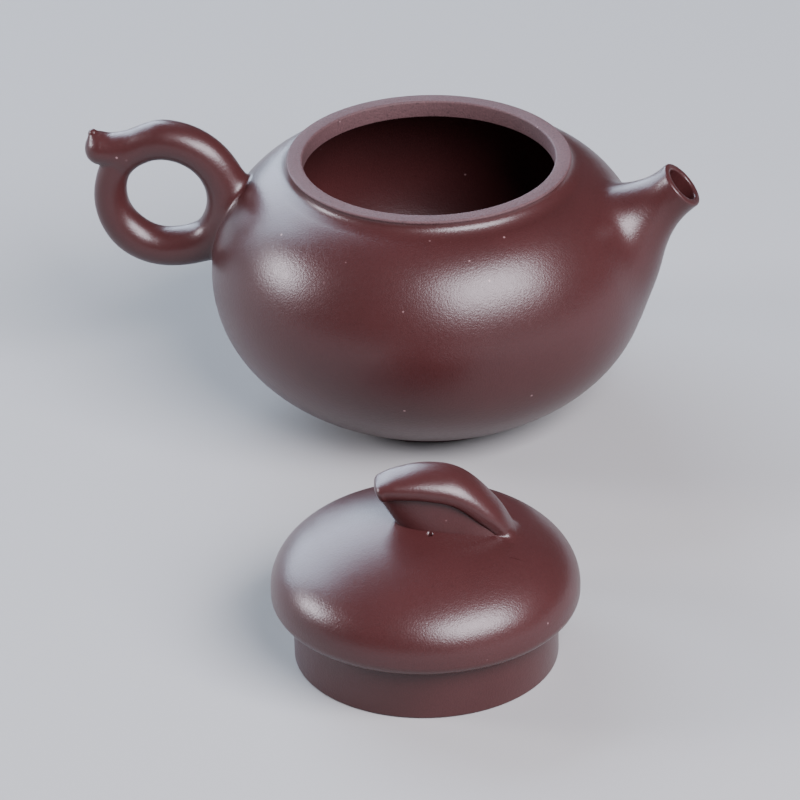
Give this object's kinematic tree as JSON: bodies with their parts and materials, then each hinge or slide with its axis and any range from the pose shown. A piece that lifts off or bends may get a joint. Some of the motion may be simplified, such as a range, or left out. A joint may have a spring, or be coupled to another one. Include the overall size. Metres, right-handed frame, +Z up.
{
  "type": "teapot",
  "caption": "Round burnished clay teapot with a ring handle with a curled tail and a short rising spout, open, its domed lid with a leaf knob lying in front.",
  "frame": {"origin": "middle of the pot's foot, on the surface it stands on", "axes": "+X from the pot's axis towards the spout, +Z up along the pot's axis, lid lying towards -Y"},
  "size_m": [0.1459, 0.2043, 0.0693],
  "materials": {
    "clay_burnished": "dark purplish red-brown clay, burnished to a soft satin sheen, fine grain with tiny pale specks",
    "clay_matte": "the same clay left unburnished, matte and gritty, a little paler",
    "clay_inside": "the same clay inside the pot, matte, with faint turning marks"
  },
  "bodies": {
    "pot": {"foot_disc": "clay_burnished", "base_disc": "clay_inside", "belly_wall": "clay_burnished", "shoulder_disc": "clay_burnished", "neck_band": "clay_burnished", "mouth_ring": "clay_matte", "strainer": "clay_inside", "spout": "clay_burnished", "handle_ring": "clay_burnished", "handle_tail": "clay_burnished"},
    "lid": {"lid_flange": "clay_burnished", "lid_rim": "clay_burnished", "lid_dome": "clay_burnished", "knob_stem": "clay_burnished", "knob_leaf": "clay_burnished"}
  },
  "joints": [
    {"name": "lid_carry", "type": "slide", "parent": "pot", "child": "lid", "axis": [-0.0706, 0.6167, 0.784], "range_m": [0, 0.1913]}
  ]
}
